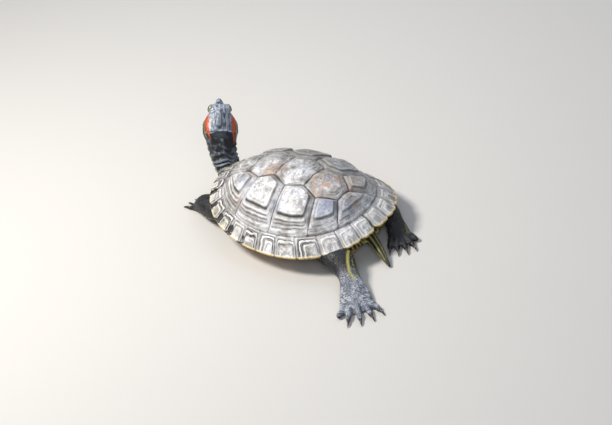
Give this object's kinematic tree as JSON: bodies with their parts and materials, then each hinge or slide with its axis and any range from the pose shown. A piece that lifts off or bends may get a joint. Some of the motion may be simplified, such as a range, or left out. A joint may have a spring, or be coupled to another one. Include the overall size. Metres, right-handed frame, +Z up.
{
  "type": "red-eared slider turtle",
  "caption": "Life-size red-eared slider turtle basking on its belly, head raised and turned to its right, one hind leg stretched out behind.",
  "frame": {"origin": "on the flat underside of the lower shell, on the midline below the middle of the upper shell, at floor level", "axes": "+X towards the front end of the shell along the midline, +Y to the turtle's left, +Z up from the floor"},
  "size_m": [0.3214, 0.2124, 0.0926],
  "materials": {
    "carapace_horn": "dry, dusty grey horn with grown ridges and rust-brown patches",
    "plastron_horn": "satin yellow horn with dark blotches",
    "skin": "dark scaly skin with yellow lines and a red ear stripe",
    "claw_horn": "satin dark horn",
    "eye": "wet and glossy, yellow-green iris with a dark bar"
  },
  "bodies": {
    "root": {"bridge_left": "plastron_horn", "bridge_right": "plastron_horn", "claw_front_left_1": "claw_horn", "claw_front_left_2": "claw_horn", "claw_front_left_3": "claw_horn", "claw_front_left_4": "claw_horn", "claw_front_left_5": "claw_horn", "claw_front_right_1": "claw_horn", "claw_front_right_2": "claw_horn", "claw_front_right_3": "claw_horn", "claw_front_right_4": "claw_horn", "claw_front_right_5": "claw_horn", "claw_hind_left_1": "claw_horn", "claw_hind_left_2": "claw_horn", "claw_hind_left_3": "claw_horn", "claw_hind_left_4": "claw_horn", "claw_hind_right_1": "claw_horn", "claw_hind_right_2": "claw_horn", "claw_hind_right_3": "claw_horn", "claw_hind_right_4": "claw_horn", "eye_left": "eye", "eye_right": "eye", "foot_hind_left": "skin", "foot_hind_right": "skin", "forearm_front_left": "skin", "forearm_front_right": "skin", "hand_front_left": "skin", "hand_front_right": "skin", "head": "skin", "marginals_left": "carapace_horn", "marginals_right": "carapace_horn", "neck": "skin", "nuchal": "carapace_horn", "plastron_abdominal": "plastron_horn", "plastron_anal": "plastron_horn", "plastron_femoral": "plastron_horn", "plastron_gular": "plastron_horn", "plastron_humeral": "plastron_horn", "plastron_pectoral": "plastron_horn", "pleural_left_1": "carapace_horn", "pleural_left_2": "carapace_horn", "pleural_left_3": "carapace_horn", "pleural_left_4": "carapace_horn", "pleural_right_1": "carapace_horn", "pleural_right_2": "carapace_horn", "pleural_right_3": "carapace_horn", "pleural_right_4": "carapace_horn", "shank_hind_left": "skin", "shank_hind_right": "skin", "tail": "skin", "thigh_hind_left": "skin", "thigh_hind_right": "skin", "trunk": "skin", "upper_arm_front_left": "skin", "upper_arm_front_right": "skin", "vertebral_1": "carapace_horn", "vertebral_2": "carapace_horn", "vertebral_3": "carapace_horn", "vertebral_4": "carapace_horn", "vertebral_5": "carapace_horn"}
  },
  "joints": []
}
